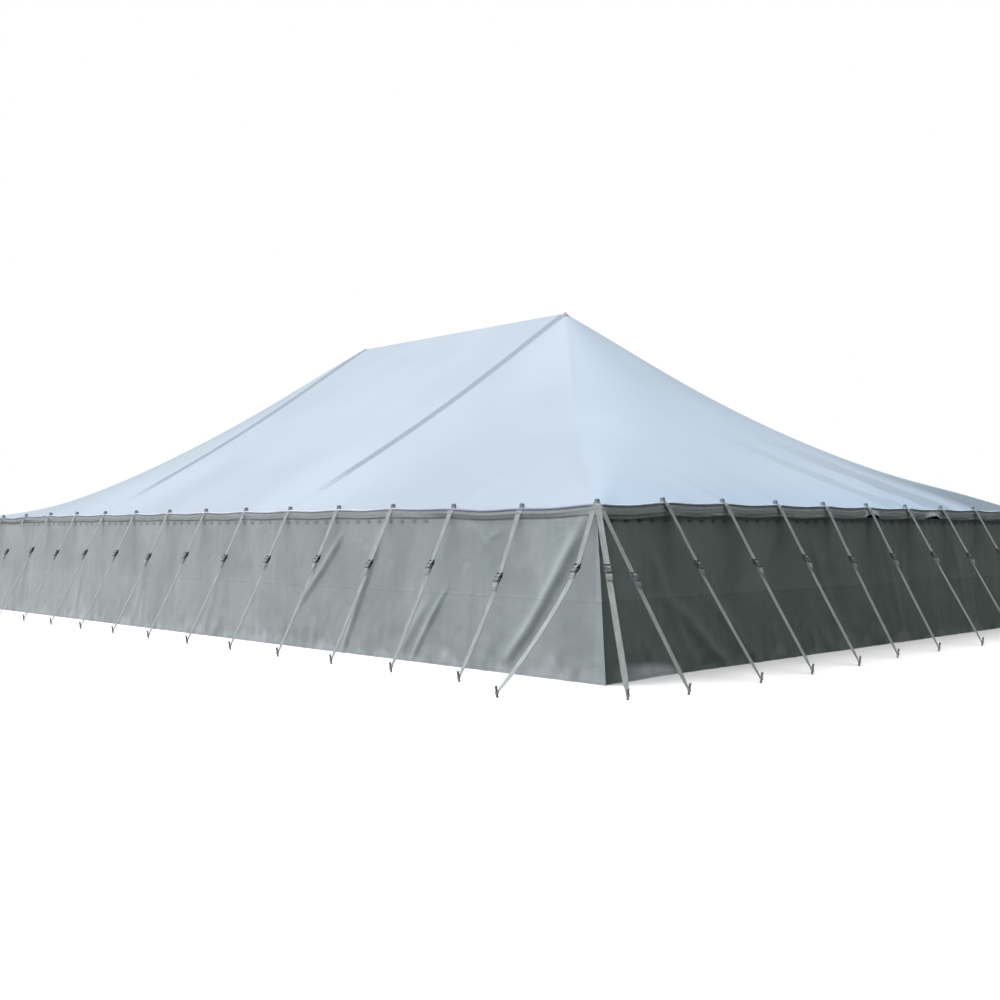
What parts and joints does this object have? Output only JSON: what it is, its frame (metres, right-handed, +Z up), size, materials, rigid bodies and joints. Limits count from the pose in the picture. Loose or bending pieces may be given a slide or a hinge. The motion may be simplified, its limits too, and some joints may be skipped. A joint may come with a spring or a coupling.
{
  "type": "marquee tent",
  "caption": "Closed rectangular pole marquee: three-piece canvas roof on king poles, side poles along the eave, full-height wall curtains, ratchet guys and stakes.",
  "frame": {"origin": "on the ground, at the middle of the tent's plan", "axes": "+X along the long walls towards the east end wall, -Y out of the front long wall, +Z up"},
  "size_m": [20.488, 15.088, 5.6881],
  "materials": {
    "roof_canvas": "coated pale blue-white roof canvas, satin",
    "wall_canvas": "matt grey-green wall canvas, dusty at the foot",
    "lacing_strip": "grey cover strip over the lacing",
    "webbing": "woven polyester webbing, pale grey-green",
    "steel": "galvanised steel tube and plate",
    "dark_cap": "dark moulded cap"
  },
  "bodies": {
    "root": {"king_pole_east": "steel", "king_pole_west": "steel", "king_pole_base_east": "steel", "king_pole_base_west": "steel", "peak_cap_east": "dark_cap", "peak_cap_west": "dark_cap", "lacing_strip_east": "lacing_strip", "lacing_strip_west": "lacing_strip", "roof_west_end": "roof_canvas", "roof_middle": "roof_canvas", "roof_east_end": "roof_canvas", "valance_front": "wall_canvas", "valance_back": "wall_canvas", "valance_east": "wall_canvas", "valance_west": "wall_canvas", "curtain_front_1": "wall_canvas", "curtain_front_2": "wall_canvas", "curtain_front_3": "wall_canvas", "curtain_back_1": "wall_canvas", "curtain_back_2": "wall_canvas", "curtain_back_3": "wall_canvas", "curtain_east_1": "wall_canvas", "curtain_east_2": "wall_canvas", "curtain_west_1": "wall_canvas", "curtain_west_2": "wall_canvas", "side_poles_front": "steel", "side_poles_back": "steel", "side_poles_east": "steel", "side_poles_west": "steel", "corner_pole_front_east": "steel", "corner_pole_back_east": "steel", "corner_pole_back_west": "steel", "corner_pole_front_west": "steel", "guys_front": "webbing", "guys_back": "webbing", "guys_east": "webbing", "guys_west": "webbing", "corner_guys_front_east": "webbing", "corner_guys_back_east": "webbing", "corner_guys_back_west": "webbing", "corner_guys_front_west": "webbing"}
  },
  "joints": []
}
